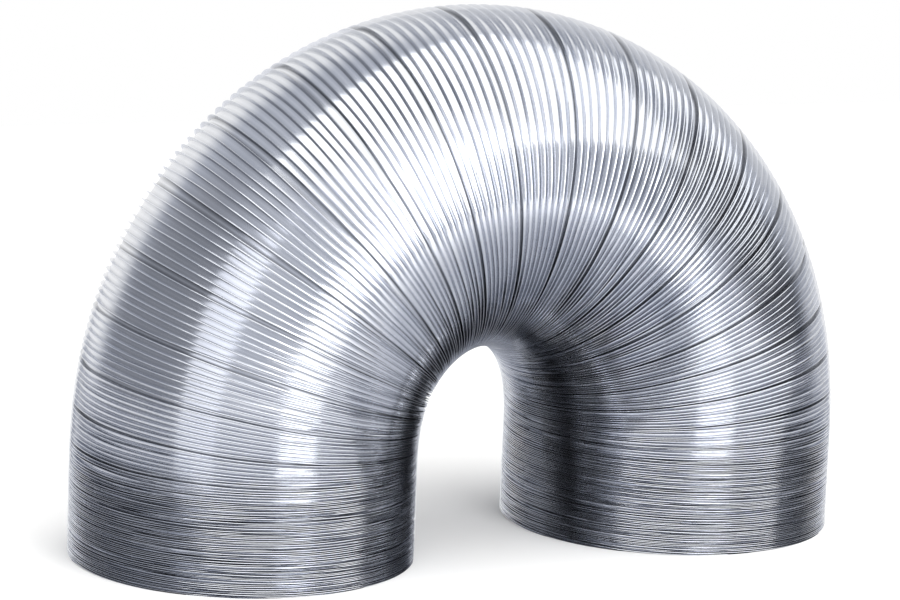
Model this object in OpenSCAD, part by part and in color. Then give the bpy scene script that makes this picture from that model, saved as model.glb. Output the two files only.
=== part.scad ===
/* [Duct] */
// Diameter over the crests of the folds
crest_d = 155; // [120:1:200]
// Height of a fold above the wall beside it
fold_h = 2; // [1:0.1:2.5]
// Thickness of the wall between the folds
wall = 0.5; // [0.4:0.1:1]
/* [Legs] */
// Height of each straight leg
leg_h = 45; // [20:1:120]
// Number of folds in each leg
leg_folds = 25; // [5:1:60]
/* [Bend] */
// Radius of the bend beside the legs, to the middle of the duct
haunch_r = 134; // [120:1:200]
// Angle that the bend turns through beside each leg
haunch_turn = 37; // [20:1:60]
// Radius of the bend at the crown, to the middle of the duct
crown_r = 103; // [101:1:119]
// Number of folds in each haunch
haunch_folds = 12; // [5:1:30]
// Number of folds in the crown
crown_folds = 18; // [5:1:40]
// Thickness of a fold that stands up in the bend
fin_t = 0.4; // [0.3:0.05:0.5]
/* [Hidden] */
facets = 96;
crest_r = crest_d / 2;
valley_r = crest_r - fold_h;
bore_r = valley_r - wall;
leg_pitch = leg_h / leg_folds;
crown_turn = 180 - 2 * haunch_turn;

// The haunches turn about centres level with the tops of the legs, and the crown about a centre
// above and between them, so that the three arcs run smoothly into one another.
step_in = haunch_r - crown_r;
span = 2 * (haunch_r - cos(haunch_turn) * step_in);
crown_z = leg_h + sin(haunch_turn) * step_in;

// The legs and the crown lap into the haunches, which are a little wider
lap = 0.1;
ease = 0.2;
lap_turn = lap / crown_r * 180 / PI;

// The foot of a fold is sunk this far into the wall
fin_sink = wall * 0.6;

module wall_ring(extra = 0) {
  difference() {
    circle(valley_r + extra, $fn = facets);
    circle(bore_r + extra, $fn = facets);
  }
}

// sweeps the wall about the Y axis, from a heading above the horizontal and on by an angle
module swept_wall(radius, from, angle, extra = 0) {
  rotate([90, 0, 0])
    rotate_extrude(angle = angle, start = from, $fn = facets * 2)
      translate([radius, 0]) wall_ring(extra);
}

module fin(inner_r) {
  rotate_extrude($fn = facets)
    translate([inner_r, -fin_t / 2]) square([crest_r - inner_r, fin_t]);
}

// folds spaced evenly over an arc of the bend, each square to the arc
module fins(radius, from, angle, count, extra = 0) {
  for (i = [0 : count - 1])
    rotate([0, -from - angle * (i + 0.5) / count, 0])
      translate([radius, 0, 0]) fin(valley_r + extra - fin_sink);
}

module haunch() {
  translate([haunch_r - span / 2, 0, leg_h]) {
    swept_wall(haunch_r, 180 - haunch_turn, haunch_turn, ease);
    fins(haunch_r, 180 - haunch_turn, haunch_turn, haunch_folds, ease);
  }
}

module crown() {
  translate([0, 0, crown_z]) {
    swept_wall(crown_r, haunch_turn - lap_turn, crown_turn + 2 * lap_turn);
    fins(crown_r, haunch_turn, crown_turn, crown_folds);
  }
}

// in the legs the folds are shut, crest beside crest
module leg() {
  rotate_extrude($fn = facets)
    polygon([
      [bore_r, 0],
      for (k = [0 : leg_folds - 1]) each [
        [valley_r, k * leg_pitch],
        [crest_r, (k + 0.5) * leg_pitch],
      ],
      [valley_r, leg_h],
      [valley_r, leg_h + lap],
      [bore_r, leg_h + lap],
    ]);
}

module duct() {
  color("silver")
    union() {
      crown();
      haunch();
      mirror([1, 0, 0]) haunch();
      for (side = [-1, 1]) translate([side * span / 2, 0, 0]) leg();
    }
}

duct();
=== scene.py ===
import bpy
import math
from mathutils import Matrix, Vector


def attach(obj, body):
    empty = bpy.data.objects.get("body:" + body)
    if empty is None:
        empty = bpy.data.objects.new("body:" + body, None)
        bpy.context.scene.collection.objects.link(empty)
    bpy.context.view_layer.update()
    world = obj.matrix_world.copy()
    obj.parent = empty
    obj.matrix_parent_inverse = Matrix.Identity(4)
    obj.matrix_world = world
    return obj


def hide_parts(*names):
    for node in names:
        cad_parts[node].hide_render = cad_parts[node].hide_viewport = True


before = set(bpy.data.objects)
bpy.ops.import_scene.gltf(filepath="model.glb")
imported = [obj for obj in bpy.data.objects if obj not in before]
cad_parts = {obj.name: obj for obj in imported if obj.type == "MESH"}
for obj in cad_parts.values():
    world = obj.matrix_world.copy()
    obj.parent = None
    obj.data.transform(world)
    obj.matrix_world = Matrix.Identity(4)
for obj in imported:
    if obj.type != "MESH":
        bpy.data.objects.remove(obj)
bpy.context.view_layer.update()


# The duct
# A strip of thin aluminium foil is folded lengthways into small zigzags and wound into a tube, with
# its two edges locked into each other. The tube is bent by hand to an arch and stands on its ends.
# Along the inside of the bend the folds stay shut, so they are evenly spaced on the throat line,
# from one mouth up, round and down to the other. It turns hardest at the crown.
MM = 0.001
CREST_R = 77.4 * MM
LEG = 39.0 * MM
BEND = 133.34 * MM
EASE_OUT = 1.733
FOLDS = 272
FOLDS_A_TURN = 8

throat = [(0.0, 0.0), (0.0, LEG)]
steps = 400
sharpest = math.pi / (BEND * (1 - 1 / (EASE_OUT + 1)))
heading = 0.0
for i in range(steps):
    along = (i + 0.5) / steps * 2 - 1
    turn = sharpest * (1 - abs(along) ** EASE_OUT) * BEND / steps
    heading += turn / 2
    x, z = throat[-1]
    throat.append((x + math.sin(heading) * BEND / steps, z + math.cos(heading) * BEND / steps))
    heading += turn / 2
throat.append((throat[-1][0], 0.0))
half_gap = throat[-1][0] / 2

line = bpy.data.curves.new("throat_line", "CURVE")
line.dimensions = "3D"
spline = line.splines.new("POLY")
spline.points.add(len(throat) - 1)
for point, (x, z) in zip(spline.points, throat):
    point.co = (x - half_gap, 0, z, 1)
throat_line = bpy.data.objects.new("throat_line", line)
bpy.context.scene.collection.objects.link(throat_line)


def add(tree, kind, links=None, **settings):
    """Adds a node with its settings; links are constants or sockets, by input name or number."""
    node = tree.nodes.new(kind)
    for name, value in settings.items():
        setattr(node, name, value)
    for name, value in (links or {}).items():
        if isinstance(value, bpy.types.NodeSocket):
            tree.links.new(value, node.inputs[name])
        else:
            node.inputs[name].default_value = value
    return node


def calc(tree, operation, *values):
    return add(tree, "ShaderNodeMath", dict(enumerate(values)), operation=operation).outputs[0]


# The wound strip
# Every fold of the strip is a helix that moves on by eight folds in a turn. Where the bend is open
# each fold is a narrow crest between wide valleys, and where it is shut the crests lie side by
# side with a thin groove between. Each point also stores how much painted shade its groove gets.
tree = bpy.data.node_groups.new("wound_strip", "GeometryNodeTree")
SOCKETS = [
    ("Throat Line", "NodeSocketObject", throat_line),
    ("First Fold", "NodeSocketFloat", 0.0),
    ("Folds", "NodeSocketInt", 60),
    ("Around", "NodeSocketInt", 96),
    ("Crest Radius", "NodeSocketFloat", CREST_R),
    ("Fold Height", "NodeSocketFloat", 2.0 * MM),
    ("Crest Half Width", "NodeSocketFloat", 0.3 * MM),
    ("Foil", "NodeSocketFloat", 0.12 * MM),
    ("Unevenness", "NodeSocketFloat", 2.2 * MM),
    ("Material", "NodeSocketMaterial", None),
]
tree.interface.new_socket("Geometry", in_out="OUTPUT", socket_type="NodeSocketGeometry")
for name, kind, value in SOCKETS:
    socket = tree.interface.new_socket(name, in_out="INPUT", socket_type=kind)
    if isinstance(value, (int, float)):
        socket.default_value = value
given = tree.nodes.new("NodeGroupInput").outputs
result = tree.nodes.new("NodeGroupOutput")

SAMPLES = 8
rows = calc(tree, "MULTIPLY", given["Folds"], SAMPLES)
grid = add(tree, "GeometryNodeMeshGrid", {
    "Size X": 1.0, "Size Y": 1.0,
    "Vertices X": calc(tree, "ADD", rows, 1), "Vertices Y": calc(tree, "ADD", given["Around"], 1)})
place = add(tree, "ShaderNodeSeparateXYZ", {0: add(tree, "GeometryNodeInputPosition").outputs[0]})
row = calc(tree, "ROUND", calc(tree, "MULTIPLY", calc(tree, "ADD", place.outputs[0], 0.5), rows))
turn_share = calc(tree, "ADD", place.outputs[1], 0.5)
angle = calc(tree, "MULTIPLY", calc(tree, "ADD", turn_share, 0.5), 2 * math.pi)

# which fold this row belongs to, and how far it lies from the crest: 0 on it, 4 in the valley
sample = calc(tree, "MODULO", row, SAMPLES)
passed = calc(tree, "GREATER_THAN", sample, SAMPLES / 2)
side = calc(tree, "SUBTRACT", 1.0, calc(tree, "MULTIPLY", passed, 2.0))
from_crest = calc(tree, "MINIMUM", sample, calc(tree, "SUBTRACT", SAMPLES, sample))
fold = calc(tree, "ADD", calc(tree, "FLOOR", calc(tree, "DIVIDE", row, SAMPLES)), passed)
fold = calc(tree, "ADD", fold, given["First Fold"])
crest_at = calc(tree, "ADD", fold, calc(tree, "MULTIPLY", turn_share, FOLDS_A_TURN))

# the spacing of the folds here, from how sharply the throat line turns
pitch = (BEND + 2 * LEG) / FOLDS
along = calc(tree, "MULTIPLY", calc(tree, "SUBTRACT", crest_at, FOLDS / 2), pitch * 2 / BEND)
along = calc(tree, "MINIMUM", calc(tree, "ABSOLUTE", along), 1.0)
turning = calc(tree, "SUBTRACT", 1.0, calc(tree, "POWER", along, EASE_OUT))
turning = calc(tree, "MULTIPLY", turning, sharpest * pitch)
out_from_throat = calc(tree, "ADD", calc(tree, "COSINE", angle), 1.0)
opening = calc(tree, "MULTIPLY", calc(tree, "MULTIPLY", out_from_throat, turning), given["Crest Radius"])
spacing = calc(tree, "ADD", opening, pitch)

# hand-bent foil is never even: the folds bunch, and some grooves gape
valley_at = calc(tree, "ADD", crest_at, calc(tree, "MULTIPLY", side, 0.5))
warped = []
for station in (crest_at, valley_at):
    at_point = add(tree, "ShaderNodeCombineXYZ", {
        0: calc(tree, "MULTIPLY", station, 0.55),
        1: calc(tree, "MULTIPLY", calc(tree, "COSINE", angle), 0.5),
        2: calc(tree, "MULTIPLY", calc(tree, "SINE", angle), 0.5)})
    bunch = add(tree, "ShaderNodeTexNoise", {
        "Vector": at_point.outputs[0], "Scale": 1.0, "Detail": 1.0, "Roughness": 0.5}).outputs[0]
    bunch = calc(tree, "MULTIPLY", calc(tree, "SUBTRACT", bunch, 0.5), given["Unevenness"])
    bunch = calc(tree, "DIVIDE", bunch, spacing)
    warped.append(calc(tree, "ADD", station, bunch))
to_valley = calc(tree, "MULTIPLY", calc(tree, "SUBTRACT", warped[1], warped[0]), side)
half = calc(tree, "MULTIPLY", calc(tree, "MAXIMUM", to_valley, 0.08), spacing)

# the folded section: distances from the crest and drops below it
crest_half = calc(tree, "MINIMUM", given["Crest Half Width"], calc(tree, "MULTIPLY", half, 0.75))
rest = calc(tree, "SUBTRACT", half, crest_half)
reach = add(tree, "GeometryNodeIndexSwitch", {"Index": from_crest}, data_type="FLOAT")
drop = add(tree, "GeometryNodeIndexSwitch", {"Index": from_crest}, data_type="FLOAT")
hidden = add(tree, "GeometryNodeIndexSwitch", {"Index": from_crest}, data_type="FLOAT")
for switch in (reach, drop, hidden):
    while len(switch.index_switch_items) < 5:
        switch.index_switch_items.new()
foot = calc(tree, "MINIMUM", calc(tree, "MULTIPLY", rest, 0.4), 0.25 * MM)
across = [0.0, calc(tree, "MULTIPLY", crest_half, 0.5), crest_half, calc(tree, "ADD", crest_half, foot), half]
for k, value in enumerate(across):
    if k:
        tree.links.new(value, reach.inputs[k + 1])
for k, share in enumerate([0.0, 0.06, 0.45, 0.96, 1.0]):
    drop.inputs[k + 1].default_value = share
# painted groove shade: how far the base colour is darkened, most at the foot of each crest and, where the
# folds are shut, in the valley too
for k, share in enumerate([0.0, 0.05, 0.5, 0.8, 0.0]):
    hidden.inputs[k + 1].default_value = share
shut = calc(tree, "SUBTRACT", 1.0, calc(tree, "MINIMUM", calc(tree, "DIVIDE", rest, 0.7 * MM), 1.0))
tree.links.new(shut, hidden.inputs[5])

stride = calc(tree, "DIVIDE", reach.outputs[0], spacing)
at = calc(tree, "ADD", warped[0], calc(tree, "MULTIPLY", side, stride))
past_end = calc(tree, "ADD", calc(tree, "LESS_THAN", at, 0.0), calc(tree, "GREATER_THAN", at, float(FOLDS)))
at = calc(tree, "MINIMUM", calc(tree, "MAXIMUM", at, 0.0), float(FOLDS))
deep = add(tree, "ShaderNodeMix", {
    "Factor": past_end, "A": drop.outputs[0], "B": 0.5}).outputs[0]
radius = calc(tree, "SUBTRACT", given["Crest Radius"], calc(tree, "MULTIPLY", deep, given["Fold Height"]))

# carried round the bend: out from the throat line, in the plane square to it
info = add(tree, "GeometryNodeObjectInfo", {"Object": given["Throat Line"]})
on_line = add(tree, "GeometryNodeSampleCurve", {
    "Curves": info.outputs["Geometry"], "Factor": calc(tree, "DIVIDE", at, float(FOLDS))},
    mode="FACTOR", use_all_curves=True)
tangent = add(tree, "ShaderNodeSeparateXYZ", {0: on_line.outputs["Tangent"]})
outward = add(tree, "ShaderNodeCombineXYZ", {
    0: calc(tree, "MULTIPLY", tangent.outputs[2], -1.0), 2: tangent.outputs[0]})
spoke = add(tree, "ShaderNodeVectorMath", {
    0: outward.outputs[0], "Scale": calc(tree, "COSINE", angle)}, operation="SCALE")
spoke = add(tree, "ShaderNodeVectorMath", {
    0: spoke.outputs[0],
    1: add(tree, "ShaderNodeCombineXYZ", {1: calc(tree, "SINE", angle)}).outputs[0]}, operation="ADD")
centre = add(tree, "ShaderNodeVectorMath", {
    0: outward.outputs[0], 1: [CREST_R] * 3, 2: on_line.outputs["Position"]}, operation="MULTIPLY_ADD")
surface = add(tree, "ShaderNodeVectorMath", {0: spoke.outputs[0], "Scale": radius}, operation="SCALE")
surface = add(tree, "ShaderNodeVectorMath", {
    0: centre.outputs[0], 1: surface.outputs[0]}, operation="ADD")

ribbon = add(tree, "GeometryNodeStoreNamedAttribute", {
    "Geometry": grid.outputs["Mesh"], "Name": "fold", "Value": calc(tree, "ADD", at, calc(
        tree, "MULTIPLY", turn_share, -FOLDS_A_TURN))}, data_type="FLOAT", domain="POINT")
ribbon = add(tree, "GeometryNodeStoreNamedAttribute", {
    "Geometry": ribbon.outputs[0], "Name": "round", "Value": turn_share}, data_type="FLOAT", domain="POINT")
ribbon = add(tree, "GeometryNodeStoreNamedAttribute", {
    "Geometry": ribbon.outputs[0], "Name": "hidden", "Value": hidden.outputs[0]},
    data_type="FLOAT", domain="POINT")
ribbon = add(tree, "GeometryNodeStoreNamedAttribute", {
    "Geometry": ribbon.outputs[0], "Name": "spoke", "Value": spoke.outputs[0]},
    data_type="FLOAT_VECTOR", domain="POINT")
ribbon = add(tree, "GeometryNodeSetPosition", {
    "Geometry": ribbon.outputs[0], "Position": surface.outputs[0]})
ribbon = add(tree, "GeometryNodeMergeByDistance", {
    "Geometry": ribbon.outputs[0], "Distance": 0.002 * MM})

# the foil's thickness, inward
inward = add(tree, "ShaderNodeVectorMath", {
    0: add(tree, "GeometryNodeInputNamedAttribute", {"Name": "spoke"}, data_type="FLOAT_VECTOR").outputs[0],
    "Scale": -1.0}, operation="SCALE")
inside = add(tree, "GeometryNodeExtrudeMesh", {
    "Mesh": ribbon.outputs[0], "Offset": inward.outputs[0], "Offset Scale": given["Foil"],
    "Individual": False}, mode="FACES")
inside = add(tree, "GeometryNodeFlipFaces", {"Mesh": inside.outputs["Mesh"]})
foil = add(tree, "GeometryNodeJoinGeometry")
tree.links.new(ribbon.outputs[0], foil.inputs[0])
tree.links.new(inside.outputs[0], foil.inputs[0])
foil = add(tree, "GeometryNodeMergeByDistance", {"Geometry": foil.outputs[0], "Distance": 0.002 * MM})
gentle = calc(tree, "LESS_THAN", add(tree, "GeometryNodeInputMeshEdgeAngle").outputs["Unsigned Angle"],
              math.radians(32))
foil = add(tree, "GeometryNodeSetShadeSmooth", {"Geometry": foil.outputs[0], "Shade Smooth": True})
foil = add(tree, "GeometryNodeSetShadeSmooth", {
    "Geometry": foil.outputs[0], "Shade Smooth": gentle}, domain="EDGE")
foil = add(tree, "GeometryNodeRealizeInstances", {"Geometry": foil.outputs[0]})
foil = add(tree, "GeometryNodeSetMaterial", {"Geometry": foil.outputs[0], "Material": given["Material"]})
tree.links.new(foil.outputs[0], result.inputs[0])

PIECES = [("strip_a", -8.0, 58), ("strip_b", 50.0, 56), ("strip_c", 106.0, 56), ("strip_d", 162.0, 56),
          ("strip_e", 218.0, 54)]


def wound(name, first, folds, material):
    """Winds some of the strip's folds and keeps them as a plain mesh."""
    maker = bpy.data.objects.new(name + "_maker", bpy.data.meshes.new(name + "_maker"))
    bpy.context.scene.collection.objects.link(maker)
    winding = maker.modifiers.new("winding", "NODES")
    winding.node_group = tree
    values = {"First Fold": first, "Folds": folds, "Material": material, "Throat Line": throat_line}
    for item in tree.interface.items_tree:
        if item.in_out == "INPUT" and item.name in values:
            winding[item.identifier] = values[item.name]
    bpy.context.view_layer.update()
    seen = maker.evaluated_get(bpy.context.evaluated_depsgraph_get())
    mesh = bpy.data.meshes.new_from_object(seen)
    bpy.data.objects.remove(maker)
    piece = bpy.data.objects.new(name, mesh)
    bpy.context.scene.collection.objects.link(piece)
    return piece


# Mill-finish aluminium foil
# The foil is bright as rolled, with fine drawn streaks along the strip and a faint cloudiness. In the
# grooves, where it was creased, the base colour is darkened as painted shade.
def srgb(code):
    channels = [int(code[i:i + 2], 16) / 255 for i in (1, 3, 5)]
    return [c / 12.92 if c <= 0.04045 else ((c + 0.055) / 1.055) ** 2.4 for c in channels] + [1.0]


foil_metal = bpy.data.materials.new("mill_finish_aluminium_foil")
foil_metal.use_nodes = True
look = foil_metal.node_tree
look.nodes.clear()
fold_at = add(look, "ShaderNodeAttribute", attribute_name="fold").outputs["Fac"]
round_at = add(look, "ShaderNodeAttribute", attribute_name="round").outputs["Fac"]
painted_groove_shade_at = add(look, "ShaderNodeAttribute", attribute_name="hidden").outputs["Fac"]
STRIP_MM = 5.0
GIRTH_MM = 487.0
strip = add(look, "ShaderNodeCombineXYZ", {
    0: calc(look, "MULTIPLY", fold_at, STRIP_MM / 0.35),
    1: calc(look, "MULTIPLY", round_at, GIRTH_MM / 30.0)}).outputs[0]
streaks = add(look, "ShaderNodeTexNoise", {"Vector": strip, "Scale": 1.0, "Detail": 4.0, "Roughness": 0.6})
where = add(look, "ShaderNodeTexCoord").outputs["Object"]
clouds = add(look, "ShaderNodeTexNoise", {"Vector": where, "Scale": 60.0, "Detail": 3.0})
tone = add(look, "ShaderNodeMix", {"Factor": clouds.outputs["Fac"]}, data_type="RGBA")
tone.inputs[6].default_value = srgb("#D9DCE3")
tone.inputs[7].default_value = srgb("#F0F1F4")
# the lock seam is the one fold in eight where the strip's edges hook together, four foils thick; its painted
# groove shade is deeper
at_seam = calc(look, "LESS_THAN", calc(look, "FLOORED_MODULO", fold_at, FOLDS_A_TURN), 1.0)
painted_shade_strength = calc(look, "MULTIPLY_ADD", at_seam, 0.6, 0.2)
painted_groove_shade_factor = calc(look, "MULTIPLY", painted_groove_shade_at, painted_shade_strength)
# painted shade: the base colour is mixed towards a dark grey in the grooves
shade = add(look, "ShaderNodeMix", {"Factor": painted_groove_shade_factor}, data_type="RGBA")
look.links.new(tone.outputs[2], shade.inputs[6])
shade.inputs[7].default_value = srgb("#3E4148")
dull = add(look, "ShaderNodeMapRange", {
    "Value": streaks.outputs["Fac"], "From Min": 0.3, "From Max": 0.7, "To Min": 0.10, "To Max": 0.20})
drawn = add(look, "ShaderNodeBump", {
    "Height": streaks.outputs["Fac"], "Strength": 0.12, "Distance": 0.05 * MM})
metal = add(look, "ShaderNodeBsdfPrincipled", {
    "Base Color": shade.outputs[2], "Metallic": 1.0, "Roughness": dull.outputs["Result"],
    "Normal": drawn.outputs["Normal"]})
add(look, "ShaderNodeOutputMaterial", {"Surface": metal.outputs[0]})

for name, first, folds in PIECES:
    piece = wound(name, first, folds, foil_metal)
    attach(piece, "root")
    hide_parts("duct")
bpy.data.objects.remove(throat_line)


# Floor and light
# A white sweep under the duct, painted greyer in reflections and darker near the duct as a painted shadow,
# a long soft box to the right of the camera, a weaker one to the left and a wide one overhead; the sides
# of the room stay dark and give the metal its dark bands.
R = CREST_R
floor_mesh = bpy.data.meshes.new("floor")
FLOOR = 1.3
floor_mesh.from_pydata([(-FLOOR, -FLOOR, 0), (FLOOR, -FLOOR, 0), (FLOOR, FLOOR, 0), (-FLOOR, FLOOR, 0)],
                       [], [(0, 1, 2, 3)])
floor = bpy.data.objects.new("floor", floor_mesh)
bpy.context.scene.collection.objects.link(floor)
paper = bpy.data.materials.new("white_paper")
paper.use_nodes = True
sheet = paper.node_tree
sheet.nodes.clear()
rays = add(sheet, "ShaderNodeLightPath")
far_off = add(sheet, "ShaderNodeVectorMath", {
    0: add(sheet, "ShaderNodeTexCoord").outputs["Object"]}, operation="LENGTH")
# painted shadow: in the duct's reflections the floor is greyer, darkest near the duct
reach_out = add(sheet, "ShaderNodeMapRange", {
    "Value": far_off.outputs["Value"], "From Min": 0.25, "From Max": 1.0}, interpolation_type="SMOOTHSTEP")
painted_shadow_floor_tone = add(sheet, "ShaderNodeMix", {"Factor": reach_out.outputs["Result"]}, data_type="RGBA")
painted_shadow_floor_tone.inputs[6].default_value = srgb("#A6A9B1")
painted_shadow_floor_tone.inputs[7].default_value = srgb("#E4E5E9")
paper_tone = add(sheet, "ShaderNodeMix", {"Factor": rays.outputs["Is Glossy Ray"]}, data_type="RGBA")
paper_tone.inputs[6].default_value = srgb("#FAFAFA")
sheet.links.new(painted_shadow_floor_tone.outputs[2], paper_tone.inputs[7])
matt = add(sheet, "ShaderNodeBsdfDiffuse", {"Color": paper_tone.outputs[2]})
add(sheet, "ShaderNodeOutputMaterial", {"Surface": matt.outputs[0]})
floor_mesh.materials.append(paper)

YAW, PITCH, ROLL = 0.4837, 0.1877, -0.0409
EYE_DIST, EYE_LEVEL = 20.02 * R, 1.381 * R
to_camera = Vector((-math.sin(YAW), -math.cos(YAW), 0))
to_right = Vector((math.cos(YAW), -math.sin(YAW), 0))
DARK_SIDE = to_right * math.cos(math.radians(15)) - to_camera * math.sin(math.radians(15))

world = bpy.data.worlds.new("studio")
bpy.context.scene.world = world
world.use_nodes = True
room = world.node_tree
room.nodes.clear()
seen = add(room, "ShaderNodeLightPath")
wall = add(room, "ShaderNodeBackground", {"Color": srgb("#FFFFFF"), "Strength": 1.0})
way = add(room, "ShaderNodeTexCoord").outputs["Generated"]
sideways = add(room, "ShaderNodeVectorMath", {0: way, 1: DARK_SIDE}, operation="DOT_PRODUCT")
dusk_right = add(room, "ShaderNodeMapRange", {
    "Value": sideways.outputs["Value"], "From Min": 0.72, "From Max": 0.95}, interpolation_type="SMOOTHSTEP")
dusk_left = add(room, "ShaderNodeMapRange", {
    "Value": sideways.outputs["Value"], "From Min": -0.5, "From Max": -0.85, "To Max": 0.6},
    interpolation_type="SMOOTHSTEP")
dusk = calc(room, "ADD", dusk_right.outputs["Result"], dusk_left.outputs["Result"])
away = add(room, "ShaderNodeVectorMath", {0: way, 1: -to_camera}, operation="DOT_PRODUCT")
behind = add(room, "ShaderNodeMapRange", {
    "Value": away.outputs["Value"], "From Min": 0.45, "From Max": 0.75}, interpolation_type="SMOOTHSTEP")
wall_tone = add(room, "ShaderNodeMix", {"Factor": dusk}, data_type="RGBA")
wall_tone.inputs[6].default_value = srgb("#BFC3CD")
wall_tone.inputs[7].default_value = srgb("#3C3F47")
back_tone = add(room, "ShaderNodeMix", {"Factor": behind.outputs["Result"]}, data_type="RGBA")
room.links.new(wall_tone.outputs[2], back_tone.inputs[6])
back_tone.inputs[7].default_value = srgb("#FFFFFF")
dim = add(room, "ShaderNodeBackground", {"Color": back_tone.outputs[2], "Strength": 1.0})
either = add(room, "ShaderNodeMixShader", {
    0: seen.outputs["Is Glossy Ray"], 1: wall.outputs[0], 2: dim.outputs[0]})
add(room, "ShaderNodeOutputWorld", {0: either.outputs[0]})


def soft_box(name, bearing, level, distance, width, height, power, tint):
    """A rectangular light aimed at the duct; bearing is in degrees to the right of the camera."""
    lamp = bpy.data.lights.new(name, "AREA")
    lamp.shape = "RECTANGLE"
    lamp.size, lamp.size_y = width, height
    lamp.energy = power
    lamp.color = srgb(tint)[:3]
    box = bpy.data.objects.new(name, lamp)
    bpy.context.scene.collection.objects.link(box)
    a, b = math.radians(bearing), math.radians(level)
    level_way = to_camera * math.cos(a) + to_right * math.sin(a)
    direction = level_way * math.cos(b) + Vector((0, 0, math.sin(b)))
    aim = Vector((0, 0, 0.12))
    box.location = aim + direction * distance
    box.rotation_euler = direction.to_track_quat("Z", "Y").to_euler()
    return box


soft_box("box_right", 35, 18, 1.3, 0.6, 1.1, 5.6, "#FFFFFF")
soft_box("box_left", -30, 15, 1.6, 0.7, 1.0, 1.8, "#F6F8FF")
soft_box("box_top", 55, 66, 1.4, 2.2, 2.2, 20, "#FFFEFA")

lens = bpy.data.cameras.new("camera")
lens.sensor_width = 36.0
lens.lens = 36.0 * 3396.75 / 900
lens.shift_x = -17.19 / 900
lens.shift_y = 4.46 / 900
lens.clip_end = 100
eye = bpy.data.objects.new("camera", lens)
bpy.context.scene.collection.objects.link(eye)
bpy.context.scene.camera = eye
back = to_camera * math.cos(PITCH) + Vector((0, 0, math.sin(PITCH)))
up = Vector((0, 0, math.cos(PITCH))) - to_camera * math.sin(PITCH)
side_axis = to_right * math.cos(ROLL) - up * math.sin(ROLL)
up_axis = to_right * math.sin(ROLL) + up * math.cos(ROLL)
eye.matrix_world = Matrix.Translation(Vector((0, 0, EYE_LEVEL)) + back * EYE_DIST) @ Matrix(
    (side_axis, up_axis, back)).transposed().to_4x4()

bpy.context.scene.view_settings.view_transform = "Standard"
